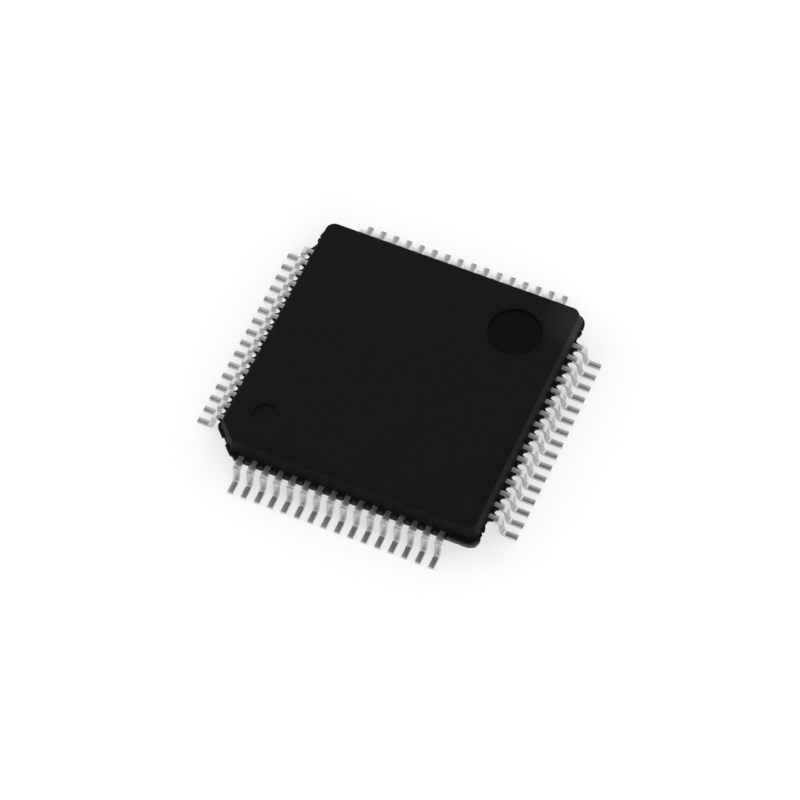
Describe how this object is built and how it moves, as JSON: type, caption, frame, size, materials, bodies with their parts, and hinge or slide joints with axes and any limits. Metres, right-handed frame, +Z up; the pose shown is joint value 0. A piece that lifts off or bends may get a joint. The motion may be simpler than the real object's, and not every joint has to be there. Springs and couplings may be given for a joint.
{
  "type": "quad flat pack chip",
  "caption": "Low, square surface-mount integrated circuit in black moulded resin, with gull wing leads in a row along all four sides and a cut corner and dimple marking the first lead.",
  "frame": {"origin": "middle of the body on the seating plane, which the soles of the feet touch", "axes": "+X along the front row in the order of its leads, +Y to the back, +Z up out of the marked top face"},
  "size_m": [0.012, 0.012, 0.0015],
  "materials": {
    "moulding_resin": "matte black filled epoxy with a fine grain",
    "tinned_lead": "matte tin plating on copper alloy",
    "lead_frame_copper": "bare copper alloy, stamped",
    "silicon": "polished silicon, opaque",
    "silver_epoxy": "cured silver-filled epoxy",
    "gold_wire": "drawn gold wire"
  },
  "bodies": {
    "root": {"bond_wires_01_04": "gold_wire", "bond_wires_05_08": "gold_wire", "bond_wires_09_12": "gold_wire", "bond_wires_13_16": "gold_wire", "bond_wires_17_20": "gold_wire", "bond_wires_21_24": "gold_wire", "bond_wires_25_28": "gold_wire", "bond_wires_29_32": "gold_wire", "bond_wires_33_36": "gold_wire", "bond_wires_37_40": "gold_wire", "bond_wires_41_44": "gold_wire", "bond_wires_45_48": "gold_wire", "bond_wires_49_52": "gold_wire", "bond_wires_53_56": "gold_wire", "bond_wires_57_60": "gold_wire", "bond_wires_61_64": "gold_wire", "die": "silicon", "die_attach": "silver_epoxy", "die_pad": "lead_frame_copper", "leads_01_02": "tinned_lead", "leads_03_04": "tinned_lead", "leads_05_06": "tinned_lead", "leads_07_08": "tinned_lead", "leads_09_10": "tinned_lead", "leads_11_12": "tinned_lead", "leads_13_14": "tinned_lead", "leads_15_16": "tinned_lead", "leads_17_18": "tinned_lead", "leads_19_20": "tinned_lead", "leads_21_22": "tinned_lead", "leads_23_24": "tinned_lead", "leads_25_26": "tinned_lead", "leads_27_28": "tinned_lead", "leads_29_30": "tinned_lead", "leads_31_32": "tinned_lead", "leads_33_34": "tinned_lead", "leads_35_36": "tinned_lead", "leads_37_38": "tinned_lead", "leads_39_40": "tinned_lead", "leads_41_42": "tinned_lead", "leads_43_44": "tinned_lead", "leads_45_46": "tinned_lead", "leads_47_48": "tinned_lead", "leads_49_50": "tinned_lead", "leads_51_52": "tinned_lead", "leads_53_54": "tinned_lead", "leads_55_56": "tinned_lead", "leads_57_58": "tinned_lead", "leads_59_60": "tinned_lead", "leads_61_62": "tinned_lead", "leads_63_64": "tinned_lead", "moulded_body": "moulding_resin"}
  },
  "joints": []
}
